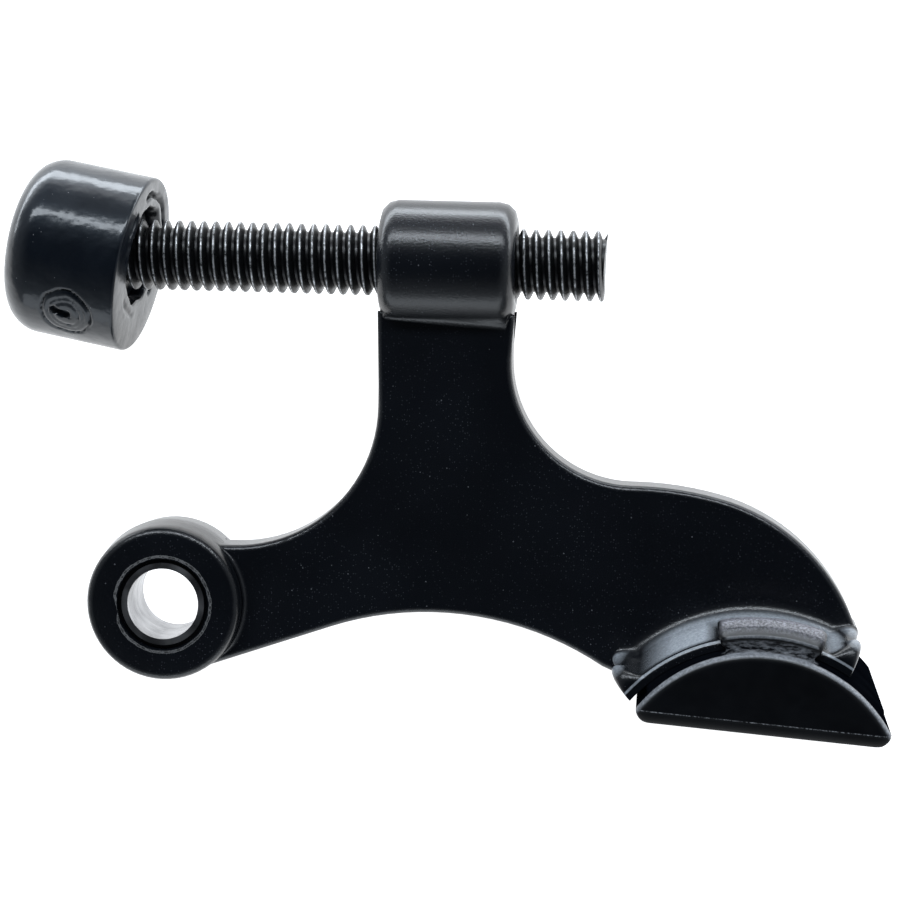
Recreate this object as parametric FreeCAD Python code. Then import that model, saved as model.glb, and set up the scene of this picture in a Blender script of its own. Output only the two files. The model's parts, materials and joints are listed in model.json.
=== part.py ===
import FreeCAD, Part
import math
import os
from FreeCAD import Vector

# Hinge pin door stop, in millimetres.
# The origin is the middle of the hinge pin bore. Z runs along the pin, X along the adjuster bolt
# towards its tail, and Y from the eye up to the bolt.

# Turn of the chords that stand for a rounded edge on a turned form, and how near counts as level
ROUND_CHORD_DEG = 45.0
LEVEL_TOLERANCE = 1e-6

# Eye and sleeve on the hinge pin
PIN_BORE_R = 4.1
BUSHING_WALL = 0.7
BUSHING_RECESS = 0.4
EYE_R = 9.2
EYE_HEIGHT = 10.4
EYE_DRAFT_DEG = 4.0
EYE_EDGE_ROUND = 0.9
EYE_MOUTH_GAP = 0.5
EYE_MOUTH_DEPTH = 1.2

# Arm and neck
ARM_THICKNESS = 5.2
ARM_EDGE_ROUND = 0.75
ARM_TOP_AT_EYE = 6.7
ARM_TOP_AT_FOOT = 15.1
NECK_LEFT_X = 24.15
NECK_WIDTH = 15.15
NECK_LEFT_R = 16.6
NECK_RIGHT_R = 13.95
BACK_FLAT = 0.7
BACK_CREST_R = 38.7
BACK_CREST_DEG = 14.1
BACK_R = 22.6
BELLY_R = 36.1
BELLY_CENTRE_X = 31.3
BELLY_TOP_Y = -0.35
BELLY_RISE_DEG = 19.6
BELLY_END_X = 50.5

# Barrel and bolt
BOLT_AXIS_Y = 39.8
BOLT_R = 3.93
BOLT_TAIL_X = 49.8
BOLT_LENGTH = 55.6
BOLT_TAIL_CHAMFER = 0.35
HEAD_ACROSS_FLATS = 12.7
HEAD_HEIGHT = 5.4
HEAD_CHAMFER_DEG = 30.0
BARREL_R = 7.0
BARREL_LENGTH = 14.8
BARREL_EDGE_ROUND = 1.9
BARREL_CHORD_DEG = 30.0
BARREL_MOUTH = 0.5
BOLT_CLEARANCE = 0.06
COVE_LEFT_Y = 33.2
COVE_RIGHT_Y = 32.3
COVE_R = 1.0
COVE_CHORD_DEG = 30.0

# Bumper cap, pushed on slightly crooked
CAP_R = 10.15
CAP_LENGTH = 14.05
CAP_NOSE_ROUND = 3.6
CAP_BACK_BEVEL = 0.3
CAP_LIP = 2.1
CAP_LIP_R = 6.9
CAP_TILT_DEG = 10.0
CAP_YAW_DEG = -5.0
CAP_DROP = 1.2
CAP_CLEARANCE = 0.12

# Foot: a curved ledge with a horn at each end
PIVOT_X = 68.0
PIVOT_Y = -19.35
LEDGE_INNER_R = 18.3
LEDGE_TIP_R = 19.2
LEDGE_ROOT_R = 21.0
LEDGE_ROOT_ROUND = 0.8
LEDGE_TIP_BEVEL = 0.3
FOOT_WIDTH = 24.0
FOOT_RIGHT_DEG = 58.0
FOOT_LEFT_DEG = 139.0
HORN_R = 21.8
HORN_TOP_DEG = 5.2
HORN_FOOT_DEG = 7.8
HORN_ROUND = 0.85

# Swivel pad, hooked over the ledge in front and behind
PAD_REST_DEG = 86.0
PAD_OVERHANG = 2.0
PAD_RIM_R = 17.4
PAD_CLEARANCE = 0.08
PAD_SHOULDER = 1.5
PAD_SHOULDER_HALF_DEG = 48.0
PAD_RIM_BEVEL = 0.35
PAD_CHORD = 10.15
PAD_FACE = 8.5
PAD_FACE_BEVEL = 1.4
PAD_TIP_X = 14.4
PAD_TIP_BEVEL = 1.1
HOOK_HALF_DEG = 16.9
HOOK_TOP_R = 21.4
HOOK_REACH = 2.4
HOOK_CLEARANCE = 0.15
HOOK_SETBACK = 0.75
HOOK_CROWN = 1.8

# Values that follow from the ones above
X_DIR = Vector(1, 0, 0)
Y_DIR = Vector(0, 1, 0)
Z_DIR = Vector(0, 0, 1)
BUSHING_R = PIN_BORE_R + BUSHING_WALL
BUSHING_LENGTH = EYE_HEIGHT - 2 * BUSHING_RECESS
ARM_HALF = ARM_THICKNESS / 2
NECK_RIGHT_X = NECK_LEFT_X + NECK_WIDTH
BARREL_X = NECK_LEFT_X + (NECK_WIDTH - BARREL_LENGTH) / 2
HEAD_X = BOLT_TAIL_X - BOLT_LENGTH
HEAD_CORNER_R = HEAD_ACROSS_FLATS / 2 / math.cos(math.radians(30))
FOOT_HALF = FOOT_WIDTH / 2
PAD_HALF = FOOT_HALF + PAD_OVERHANG
PAD_TOP_R = LEDGE_INNER_R - PAD_CLEARANCE
PIVOT = Vector(PIVOT_X, PIVOT_Y, 0)


def polar(radius, degrees, z=0.0):
    """A point about the pad's pivot."""
    turn = math.radians(degrees)
    return PIVOT + Vector(radius * math.cos(turn), radius * math.sin(turn), z)


def section(points):
    """A flat face from straight edges through the points."""
    return Part.Face(Part.makePolygon(points + points[:1]))


def arc_between(start, end, centre):
    """The shorter arc about a centre, from one point to another."""
    middle = (start + end) * 0.5 - centre
    middle.normalize()
    return Part.Arc(start, centre + middle * (start - centre).Length, end).toShape()


def turned(points, base, axis, across):
    """A solid turned about an axis from a section given as radius and distance along the axis."""
    face = section([base + across * radius + axis * along for radius, along in points])
    return face.revolve(base, axis, 360)


def rounded(centre_r, centre_along, radius, start_deg, end_deg, chord_deg=ROUND_CHORD_DEG):
    """Points of a rounded edge in a turned section; 0 degrees points outward, 90 along the axis."""
    chords = max(1, round((end_deg - start_deg) / chord_deg))
    turns = [math.radians(start_deg + (end_deg - start_deg) * step / chords) for step in range(chords + 1)]
    return [(centre_r + radius * math.cos(turn), centre_along + radius * math.sin(turn)) for turn in turns]


def edges_at_height(solid, z):
    """Edges that lie in one level plane."""
    return [edge for edge in solid.Edges
            if all(abs(vertex.Z - z) < LEVEL_TOLERANCE for vertex in edge.Vertexes)
            and edge.BoundBox.ZLength < LEVEL_TOLERANCE]


def edges_at_x(solid, x):
    """Edges that lie in one plane across the bolt."""
    return [edge for edge in solid.Edges
            if abs(edge.BoundBox.XMin - x) < LEVEL_TOLERANCE
            and abs(edge.BoundBox.XMax - x) < LEVEL_TOLERANCE]


def arm_plate():
    """The flat arm and neck, with rounded edges."""
    neck_left_centre = Vector(NECK_LEFT_X - NECK_LEFT_R, ARM_TOP_AT_EYE + NECK_LEFT_R, 0)
    neck_right_centre = Vector(NECK_RIGHT_X + NECK_RIGHT_R, ARM_TOP_AT_FOOT + NECK_RIGHT_R, 0)
    crest_centre = Vector(neck_right_centre.x + BACK_FLAT, ARM_TOP_AT_FOOT - BACK_CREST_R, 0)
    crest_turn = math.radians(BACK_CREST_DEG)
    crest_ray = Vector(math.sin(crest_turn), math.cos(crest_turn), 0)
    back_centre = crest_centre + crest_ray * (BACK_CREST_R - BACK_R)
    belly_centre = Vector(BELLY_CENTRE_X, BELLY_TOP_Y - BELLY_R, 0)
    rise = math.radians(BELLY_RISE_DEG)
    inside_eye_x = PIN_BORE_R / 2
    inside_barrel_y = BOLT_AXIS_Y - (BARREL_R + BOLT_R) / 2
    below_foot_r = LEDGE_INNER_R - 2 * ARM_EDGE_ROUND

    eye_top = Vector(inside_eye_x, ARM_TOP_AT_EYE, 0)
    neck_left_foot = Vector(neck_left_centre.x, ARM_TOP_AT_EYE, 0)
    neck_left_start = Vector(NECK_LEFT_X, neck_left_centre.y, 0)
    neck_left_top = Vector(NECK_LEFT_X, inside_barrel_y, 0)
    neck_right_top = Vector(NECK_RIGHT_X, inside_barrel_y, 0)
    neck_right_start = Vector(NECK_RIGHT_X, neck_right_centre.y, 0)
    neck_right_foot = Vector(neck_right_centre.x, ARM_TOP_AT_FOOT, 0)
    crest_start = Vector(crest_centre.x, ARM_TOP_AT_FOOT, 0)
    back_start = crest_centre + crest_ray * BACK_CREST_R

    # The back runs down to the right horn, where its circle crosses the middle of the horn.
    right_deg = FOOT_RIGHT_DEG + HORN_TOP_DEG / 4
    left_deg = FOOT_LEFT_DEG - HORN_TOP_DEG / 4
    ray = polar(1, right_deg) - PIVOT
    offset = PIVOT - back_centre
    along = offset.dot(ray)
    back_end = PIVOT + ray * (math.sqrt(along ** 2 - offset.Length ** 2 + BACK_R ** 2) - along)

    foot_right = polar(below_foot_r, right_deg)
    foot_left = polar(below_foot_r, left_deg)
    belly_drop = math.sqrt(BELLY_R ** 2 - (BELLY_END_X - BELLY_CENTRE_X) ** 2)
    belly_end = Vector(BELLY_END_X, belly_centre.y + belly_drop, 0)
    belly_start = belly_centre + Vector(-math.sin(rise), math.cos(rise), 0) * BELLY_R
    run_in = belly_start.x - inside_eye_x
    eye_bottom = Vector(inside_eye_x, belly_start.y - run_in * math.tan(rise), 0)

    outline = Part.Wire([
        Part.makeLine(eye_top, neck_left_foot),
        arc_between(neck_left_foot, neck_left_start, neck_left_centre),
        Part.makeLine(neck_left_start, neck_left_top),
        Part.makeLine(neck_left_top, neck_right_top),
        Part.makeLine(neck_right_top, neck_right_start),
        arc_between(neck_right_start, neck_right_foot, neck_right_centre),
        Part.makeLine(neck_right_foot, crest_start),
        arc_between(crest_start, back_start, crest_centre),
        arc_between(back_start, back_end, back_centre),
        Part.makeLine(back_end, foot_right),
        arc_between(foot_right, foot_left, PIVOT),
        Part.makeLine(foot_left, belly_end),
        arc_between(belly_end, belly_start, belly_centre),
        Part.makeLine(belly_start, eye_bottom),
        Part.makeLine(eye_bottom, eye_top),
    ])
    plate = Part.Face(outline).extrude(Z_DIR * ARM_THICKNESS)
    plate.translate(Z_DIR * -ARM_HALF)
    rims = edges_at_height(plate, ARM_HALF) + edges_at_height(plate, -ARM_HALF)
    return plate.makeFillet(ARM_EDGE_ROUND, rims)


def eye_boss():
    """The eye, drafted both ways from its parting line."""
    half = EYE_HEIGHT / 2
    draft = math.radians(EYE_DRAFT_DEG)
    centre_z = half - EYE_EDGE_ROUND
    centre_r = EYE_R - centre_z * math.tan(draft) - EYE_EDGE_ROUND / math.cos(draft)
    upper = rounded(centre_r, centre_z, EYE_EDGE_ROUND, EYE_DRAFT_DEG, 90)
    lower = rounded(centre_r, -centre_z, EYE_EDGE_ROUND, -90, -EYE_DRAFT_DEG)
    return turned([(0, -half)] + lower + [(EYE_R, 0)] + upper + [(0, half)], Vector(), Z_DIR, X_DIR)


def eye_hole():
    """The hole for the sleeve, wider at both mouths."""
    half = EYE_HEIGHT / 2
    hole = Part.makeCylinder(BUSHING_R, EYE_HEIGHT, Z_DIR * -half)
    for mouth_z in (-half, half - EYE_MOUTH_DEPTH):
        mouth = Part.makeCylinder(BUSHING_R + EYE_MOUTH_GAP, EYE_MOUTH_DEPTH, Z_DIR * mouth_z)
        hole = hole.fuse(mouth)
    return hole


def barrel():
    """The round barrel that carries the bolt."""
    centre_r = BARREL_R - BARREL_EDGE_ROUND
    left = rounded(centre_r, BARREL_EDGE_ROUND, BARREL_EDGE_ROUND, -90, 0, BARREL_CHORD_DEG)
    right_x = BARREL_LENGTH - BARREL_EDGE_ROUND
    right = rounded(centre_r, right_x, BARREL_EDGE_ROUND, 0, 90, BARREL_CHORD_DEG)
    base = Vector(BARREL_X, BOLT_AXIS_Y, 0)
    return turned([(0, 0)] + left + right + [(0, BARREL_LENGTH)], base, X_DIR, Y_DIR)


def cove_section(x, foot_y):
    """The hollow corner between the neck's faces and the barrel, cut across at one x."""
    front = [Vector(x, foot_y - COVE_R / 2, ARM_HALF / 2), Vector(x, foot_y - COVE_R / 2, ARM_HALF)]
    chords = round(90 / COVE_CHORD_DEG)
    for step in range(chords):
        turn = math.radians(COVE_CHORD_DEG * step)
        front.append(Vector(x, foot_y + COVE_R * math.sin(turn), ARM_HALF + COVE_R * (1 - math.cos(turn))))
    front.append(Vector(x, BOLT_AXIS_Y - BOLT_R, ARM_HALF + COVE_R))
    back = [Vector(point.x, point.y, -point.z) for point in reversed(front)]
    return Part.makePolygon(front + back + front[:1])


def barrel_cove():
    """The rounded corner where the neck runs into the barrel, along a slanting line."""
    left_x = NECK_LEFT_X + ARM_EDGE_ROUND
    right_x = NECK_RIGHT_X - ARM_EDGE_ROUND
    return Part.makeLoft([cove_section(left_x, COVE_LEFT_Y), cove_section(right_x, COVE_RIGHT_Y)], True, True)


def barrel_hole():
    """The bolt's hole, countersunk at both mouths."""
    hole_r = BOLT_R + BOLT_CLEARANCE
    hole = Part.makeCylinder(hole_r, BARREL_LENGTH, Vector(BARREL_X, BOLT_AXIS_Y, 0), X_DIR)
    left = Vector(BARREL_X, BOLT_AXIS_Y, 0)
    right = Vector(BARREL_X + BARREL_LENGTH, BOLT_AXIS_Y, 0)
    for mouth, inward in ((left, X_DIR), (right, -X_DIR)):
        hole = hole.fuse(Part.makeCone(hole_r + BARREL_MOUTH, hole_r, BARREL_MOUTH, mouth, inward))
    return hole


def turned_about_pivot(points, start_deg, sweep_deg):
    """A ring segment from a section given as radius and height about the pivot."""
    face = section([polar(radius, start_deg, z) for radius, z in points])
    return face.revolve(PIVOT, Z_DIR, sweep_deg)


def mirrored(points):
    """The same section points below the mid-plane, in the order that closes the section."""
    return [(radius, -z) for radius, z in reversed(points)]


def ledge_top_r(z):
    """Radius of the ledge's top at a height off the mid-plane."""
    root_z = ARM_HALF + LEDGE_ROOT_ROUND
    root_r = LEDGE_ROOT_R - LEDGE_ROOT_ROUND
    return LEDGE_TIP_R + (root_r - LEDGE_TIP_R) * (FOOT_HALF - z) / (FOOT_HALF - root_z)


def foot_ledge():
    """The curved ledge, thinning from the arm to its two edges."""
    root_z = ARM_HALF + LEDGE_ROOT_ROUND
    inside_arm_r = LEDGE_ROOT_R + LEDGE_ROOT_ROUND / 2
    inside_arm_z = ARM_HALF - LEDGE_ROOT_ROUND / 2
    bevel_z = FOOT_HALF - LEDGE_TIP_BEVEL
    front = [
        (inside_arm_r, inside_arm_z),
        (ledge_top_r(root_z), root_z),
        (ledge_top_r(bevel_z), bevel_z),
        (LEDGE_TIP_R - LEDGE_TIP_BEVEL, FOOT_HALF),
        (LEDGE_INNER_R, FOOT_HALF),
    ]
    sweep_deg = FOOT_LEFT_DEG - FOOT_RIGHT_DEG - HORN_TOP_DEG
    return turned_about_pivot(front + mirrored(front), FOOT_RIGHT_DEG + HORN_TOP_DEG / 2, sweep_deg)


def horn(end_deg, inward):
    """A rounded ridge across one end of the ledge; inward is +1 or -1 in turning sense."""
    profile = section([
        polar(LEDGE_INNER_R, end_deg, -FOOT_HALF),
        polar(HORN_R, end_deg, -FOOT_HALF),
        polar(HORN_R, end_deg + inward * HORN_TOP_DEG, -FOOT_HALF),
        polar(LEDGE_TIP_R, end_deg + inward * HORN_FOOT_DEG, -FOOT_HALF),
        polar(LEDGE_INNER_R, end_deg + inward * HORN_FOOT_DEG, -FOOT_HALF),
    ])
    ridge = profile.extrude(Z_DIR * FOOT_WIDTH)
    middle_r = (HORN_R + LEDGE_TIP_R) / 2
    crest = [edge for edge in ridge.Edges
             if (edge.CenterOfMass - Z_DIR * edge.CenterOfMass.z - PIVOT).Length > middle_r]
    return ridge.makeFillet(HORN_ROUND, crest)


def stop_body():
    body = arm_plate().fuse([
        eye_boss(),
        barrel(),
        barrel_cove(),
        foot_ledge(),
        horn(FOOT_RIGHT_DEG, 1),
        horn(FOOT_LEFT_DEG, -1),
    ])
    under_foot = Part.makeCylinder(LEDGE_INNER_R, FOOT_WIDTH, PIVOT - Z_DIR * FOOT_HALF)
    return body.cut([eye_hole(), barrel_hole(), under_foot]).removeSplitter()


def pin_bushing():
    base = Z_DIR * (-BUSHING_LENGTH / 2)
    tube = Part.makeCylinder(BUSHING_R, BUSHING_LENGTH, base)
    return tube.cut(Part.makeCylinder(PIN_BORE_R, BUSHING_LENGTH, base))


def hex_head():
    """The bolt's head, with its outer corners chamfered."""
    outer_x = HEAD_X - HEAD_HEIGHT
    corners = []
    for step in range(6):
        turn = math.radians(60 * step)
        offset = Vector(0, math.cos(turn), math.sin(turn)) * HEAD_CORNER_R
        corners.append(Vector(outer_x, BOLT_AXIS_Y, 0) + offset)
    prism = section(corners).extrude(X_DIR * HEAD_HEIGHT)
    face_r = HEAD_ACROSS_FLATS / 2
    rise = HEAD_HEIGHT / math.tan(math.radians(HEAD_CHAMFER_DEG))
    cone = Part.makeCone(face_r, face_r + rise, HEAD_HEIGHT, Vector(outer_x, BOLT_AXIS_Y, 0), X_DIR)
    return prism.common(cone)


def adjuster_bolt():
    shank = Part.makeCylinder(BOLT_R, BOLT_LENGTH, Vector(HEAD_X, BOLT_AXIS_Y, 0), X_DIR)
    shank = shank.makeChamfer(BOLT_TAIL_CHAMFER, edges_at_x(shank, BOLT_TAIL_X))
    return shank.fuse(hex_head()).removeSplitter()


def bumper_cap():
    """The soft cap: a cup set crooked on the head, with a pocket true to the bolt."""
    back_x = HEAD_X + CAP_LIP
    back = Vector(back_x, BOLT_AXIS_Y - CAP_DROP, 0)
    nose = rounded(CAP_R - CAP_NOSE_ROUND, CAP_LENGTH - CAP_NOSE_ROUND, CAP_NOSE_ROUND, 0, 90)
    rim = [(CAP_R - CAP_BACK_BEVEL, 0), (CAP_R, CAP_BACK_BEVEL)]
    cup = turned([(0, 0)] + rim + nose + [(0, CAP_LENGTH)], back, -X_DIR, Y_DIR)
    cup.rotate(back, Y_DIR, CAP_YAW_DEG)
    cup.rotate(back, Z_DIR, -CAP_TILT_DEG)
    pocket_length = HEAD_HEIGHT + 2 * CAP_CLEARANCE
    pocket_x = HEAD_X - HEAD_HEIGHT - CAP_CLEARANCE
    pocket_r = HEAD_CORNER_R + CAP_CLEARANCE
    pocket = Part.makeCylinder(pocket_r, pocket_length, Vector(pocket_x, BOLT_AXIS_Y, 0), X_DIR)
    mouth = Part.makeCylinder(CAP_LIP_R, CAP_LENGTH, Vector(HEAD_X, BOLT_AXIS_Y, 0), X_DIR)
    return cup.cut(pocket.fuse(mouth))


def pad_block():
    """The half-moon, bevelled along its face, with a shoulder that tucks under the ledge."""
    half_sweep = 70
    rim_z = PAD_HALF - PAD_RIM_BEVEL
    rim = [(PAD_RIM_R, rim_z), (PAD_RIM_R - PAD_RIM_BEVEL, PAD_HALF), (PAD_FACE / 2, PAD_HALF)]
    block = turned_about_pivot(rim + mirrored(rim), 90 - half_sweep, 2 * half_sweep)
    shoulder = [(PAD_TOP_R, PAD_HALF - PAD_SHOULDER), (PAD_RIM_R, rim_z), (PAD_RIM_R - PAD_SHOULDER, rim_z)]
    block = block.fuse(turned_about_pivot(
        shoulder + mirrored(shoulder), 90 - PAD_SHOULDER_HALF_DEG, 2 * PAD_SHOULDER_HALF_DEG))

    face_y = PIVOT_Y + PAD_FACE
    chord_y = PIVOT_Y + PAD_CHORD
    top_y = PIVOT_Y + PAD_TOP_R
    bevel_z = PAD_HALF - PAD_FACE_BEVEL
    across = section([Vector(PIVOT_X - PAD_TIP_X, y, z) for y, z in (
        (face_y, -bevel_z), (chord_y, -PAD_HALF), (top_y, -PAD_HALF),
        (top_y, PAD_HALF), (chord_y, PAD_HALF), (face_y, bevel_z))])
    along = section([Vector(PIVOT_X + x, y, -PAD_HALF) for x, y in (
        (-PAD_TIP_X + PAD_TIP_BEVEL, face_y), (PAD_TIP_X - PAD_TIP_BEVEL, face_y),
        (PAD_TIP_X, chord_y), (PAD_TIP_X, top_y), (-PAD_TIP_X, top_y), (-PAD_TIP_X, chord_y))])
    block = block.common(across.extrude(X_DIR * 2 * PAD_TIP_X))
    return block.common(along.extrude(Z_DIR * 2 * PAD_HALF))


def pad_hook(side):
    """A hook that rises past the ledge's edge and reaches over its top; side is +1 or -1 in Z."""
    wall_z = FOOT_HALF + HOOK_CLEARANCE
    front_z = PAD_HALF - HOOK_SETBACK
    lip_z = FOOT_HALF - HOOK_REACH
    inside_pad_r = PAD_RIM_R - PAD_RIM_BEVEL
    crown = rounded(HOOK_TOP_R - HOOK_CROWN, front_z - HOOK_CROWN, HOOK_CROWN, 0, 90)
    outline = [
        (inside_pad_r, wall_z),
        (LEDGE_TIP_R + HOOK_CLEARANCE, wall_z),
        (ledge_top_r(lip_z) + HOOK_CLEARANCE, lip_z),
        (HOOK_TOP_R, lip_z),
    ] + crown + [(inside_pad_r, front_z)]
    return turned_about_pivot([(radius, side * z) for radius, z in outline],
                              90 - HOOK_HALF_DEG, 2 * HOOK_HALF_DEG)


def swivel_pad():
    pad = pad_block().fuse([pad_hook(1), pad_hook(-1)]).removeSplitter()
    pad.rotate(PIVOT, Z_DIR, PAD_REST_DEG - 90)
    return pad


os.makedirs("parts", exist_ok=True)
for build_node in (stop_body, pin_bushing, adjuster_bolt, bumper_cap, swivel_pad):
    shape = build_node()
    shape.exportStep("parts/" + build_node.__name__ + ".step")
    box = shape.BoundBox
    print(build_node.__name__, shape.ShapeType, len(shape.Solids), shape.isValid(), round(shape.Volume, 1))
    print("  ", [round(v, 2) for v in (box.XMin, box.XMax, box.YMin, box.YMax, box.ZMin, box.ZMax)])
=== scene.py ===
# %% [markdown]
# Hinge pin door stop: a small black casting that hangs on a door's hinge pin. A long bolt with a soft cap
# meets the wall, and a half-moon pad meets the door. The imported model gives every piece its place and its
# size in metres, so this lesson never measures the object twice: it loads that frame and dresses it.

# %% Load the frame
import json
import math

import bmesh
import bpy
from mathutils import Matrix, Vector, noise


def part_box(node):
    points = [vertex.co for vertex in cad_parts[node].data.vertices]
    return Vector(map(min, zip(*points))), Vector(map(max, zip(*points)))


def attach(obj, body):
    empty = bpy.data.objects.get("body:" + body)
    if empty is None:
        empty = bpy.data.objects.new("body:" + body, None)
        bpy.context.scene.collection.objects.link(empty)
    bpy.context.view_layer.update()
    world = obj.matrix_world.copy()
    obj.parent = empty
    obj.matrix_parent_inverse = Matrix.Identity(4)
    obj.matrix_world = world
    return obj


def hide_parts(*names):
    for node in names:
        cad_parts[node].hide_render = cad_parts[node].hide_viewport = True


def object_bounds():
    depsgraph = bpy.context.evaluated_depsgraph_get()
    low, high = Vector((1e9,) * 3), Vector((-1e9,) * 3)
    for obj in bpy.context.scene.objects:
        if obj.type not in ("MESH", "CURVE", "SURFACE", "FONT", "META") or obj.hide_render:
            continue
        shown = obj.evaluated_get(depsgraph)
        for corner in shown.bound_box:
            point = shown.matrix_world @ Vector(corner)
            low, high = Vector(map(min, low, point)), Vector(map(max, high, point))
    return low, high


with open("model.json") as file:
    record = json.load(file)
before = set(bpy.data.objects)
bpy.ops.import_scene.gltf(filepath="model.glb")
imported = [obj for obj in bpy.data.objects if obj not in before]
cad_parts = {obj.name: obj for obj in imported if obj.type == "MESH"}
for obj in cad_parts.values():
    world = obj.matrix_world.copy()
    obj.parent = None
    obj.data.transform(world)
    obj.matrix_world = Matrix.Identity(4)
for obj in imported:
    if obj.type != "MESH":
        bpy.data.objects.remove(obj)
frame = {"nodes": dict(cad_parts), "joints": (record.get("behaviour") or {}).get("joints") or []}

MM = 0.001
cad_low, cad_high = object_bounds()
nodes = frame["nodes"]
print("model box in mm:", [round(v / MM, 2) for v in (*cad_low, *cad_high)])

# %% [markdown]
# The camera stands almost straight in front of the flat arm, a little above it and a little towards the
# pad's side. A long lens keeps the proportions calm. It is turned by hand-made axes instead of a Track To
# constraint, because the view is so close to the object's own Z that a constraint would pick its own roll.

# %% Camera
CAMERA_AT = Vector((0.05694, 0.05648, 0.3115))
CAMERA_AIM = Vector((0.03234, 0.01828, 0.0))
CAMERA_ROLL = math.radians(1.27)
CAMERA_LENS = 109.6


def looking(at, aim, roll):
    """A camera matrix at one point, looking at another, with its top towards +Y."""
    back = (at - aim).normalized()
    right = Vector((0, 1, 0)).cross(back).normalized()
    up = back.cross(right)
    turn = Matrix.Rotation(roll, 3, back)
    axes = Matrix((turn @ right, turn @ up, back)).transposed()
    return Matrix.Translation(at) @ axes.to_4x4()


camera_data = bpy.data.cameras.new("camera")
camera_data.lens = CAMERA_LENS
camera_data.clip_start = 10 * MM
camera = bpy.data.objects.new("camera", camera_data)
camera.matrix_world = looking(CAMERA_AT, CAMERA_AIM, CAMERA_ROLL)
bpy.context.scene.collection.objects.link(camera)
bpy.context.scene.camera = camera
print("camera to the arm in mm:", round((CAMERA_AT - CAMERA_AIM).length / MM, 1))

# %% [markdown]
# Every finish below is a small node tree. Writing each link by hand hides the idea, so one helper adds a
# node, sets its sockets and takes links as plain values: a socket passed as a value becomes a link.


# %% A helper for node trees
class Tree:
    """A node tree that is written one node per line."""

    def __init__(self, owner):
        owner.use_nodes = True
        self.tree = owner.node_tree
        self.tree.nodes.clear()

    def add(self, kind, settings=None, **sockets):
        """Adds a node; settings are its own fields, sockets its inputs by name or number."""
        node = self.tree.nodes.new(kind)
        for name, value in (settings or {}).items():
            setattr(node, name, value)
        for name, value in sockets.items():
            numbered = name[0] == "i" and name[1:].isdigit()
            key = int(name[1:]) if numbered else name.replace("_", " ")
            if isinstance(value, bpy.types.NodeSocket):
                self.tree.links.new(value, node.inputs[key])
            else:
                node.inputs[key].default_value = value
        return node.outputs

    def math(self, operation, first, second=0.0):
        return self.add("ShaderNodeMath", {"operation": operation}, i0=first, i1=second)[0]

    def times(self, first, *others):
        """The product of several masks: 1 only where all of them are 1."""
        for other in others:
            first = self.math("MULTIPLY", first, other)
        return first

    def vector(self, operation, first, second=(0, 0, 0)):
        """One step of vector arithmetic; a length or a dot product comes out as a number."""
        out = self.add("ShaderNodeVectorMath", {"operation": operation}, i0=first, i1=second)
        return out["Value"] if operation in ("LENGTH", "DOT_PRODUCT") else out["Vector"]

    def remap(self, value, low, high, to_low=0.0, to_high=1.0):
        """A clamped straight line from one range to another."""
        return self.add("ShaderNodeMapRange", None, i0=value, i1=low, i2=high, i3=to_low, i4=to_high)[0]

    def noise(self, place, scale, detail=2.0, rough=0.5):
        sockets = {"Vector": place, "Scale": scale, "Detail": detail, "Roughness": rough}
        return self.add("ShaderNodeTexNoise", None, **sockets)[0]

    def mix(self, share, first, second):
        """A mix of two colours."""
        return self.add("ShaderNodeMix", {"data_type": "RGBA"}, i0=share, i6=first, i7=second)[2]

    def surface(self, **sockets):
        """The shader and the output that end a material."""
        shader = self.add("ShaderNodeBsdfPrincipled", None, **sockets)
        self.add("ShaderNodeOutputMaterial", None, Surface=shader[0])


print("node helper ready")

# %% [markdown]
# The studio is a white sweep that glows like a light table, so the dark object keeps a clean outline and
# its edges pick up white from behind. One plane does it: a curved backdrop would never be seen from here.

# %% White floor
FLOOR_GAP = 0.3 * MM
FLOOR_SIZE = 2.4
FLOOR_GLOW = 1.0


def white_sweep():
    """The glowing white of the floor."""
    material = bpy.data.materials.new("white_sweep")
    Tree(material).surface(Base_Color=(0.86, 0.86, 0.86, 1), Roughness=0.8, Emission_Color=(1, 1, 1, 1),
                           Emission_Strength=FLOOR_GLOW)
    return material


floor_mesh = bpy.data.meshes.new("floor")
shell = bmesh.new()
bmesh.ops.create_grid(shell, x_segments=2, y_segments=2, size=FLOOR_SIZE / 2)
bmesh.ops.translate(shell, verts=shell.verts, vec=(0, 0, cad_low.z - FLOOR_GAP))
shell.to_mesh(floor_mesh)
shell.free()
floor = bpy.data.objects.new("floor", floor_mesh)
floor_mesh.materials.append(white_sweep())
bpy.context.scene.collection.objects.link(floor)
print("floor at z in mm:", round((cad_low.z - FLOOR_GAP) / MM, 2))

# %% [markdown]
# The sky is pale at the sides and dark overhead, where the camera looks in. A flat black face mirrors what
# stands behind the camera, so this is what leaves the arm nearly black while its rounded edges stay lit.

# %% Sky
DARK_UNTIL = math.cos(math.radians(22))
PALE_FROM = math.cos(math.radians(60))
SKY_DARK = 0.02
SKY_PALE = 0.42
SKY_COLOUR = (0.84, 0.92, 1.0, 1)

sky = bpy.data.worlds.new("studio")
bpy.context.scene.world = sky
tree = Tree(sky)
direction = tree.add("ShaderNodeTexCoord")["Generated"]
height = tree.add("ShaderNodeSeparateXYZ", None, Vector=direction)[2]
paleness = tree.remap(height, DARK_UNTIL, PALE_FROM, SKY_DARK, SKY_PALE)
background = tree.add("ShaderNodeBackground", None, Color=SKY_COLOUR, Strength=paleness)
tree.add("ShaderNodeOutputWorld", None, Surface=background[0])
bpy.context.scene.view_settings.view_transform = "Standard"
print("sky nodes:", len(sky.node_tree.nodes))

# %% [markdown]
# Two soft boxes, above and below, draw the long bands along the barrel and the cap, and a strip that lies
# on the floor beyond the bolt lights their upper edges. Long narrow area lights give such bands a clear
# edge, where a point light would leave only a dot.

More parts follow.
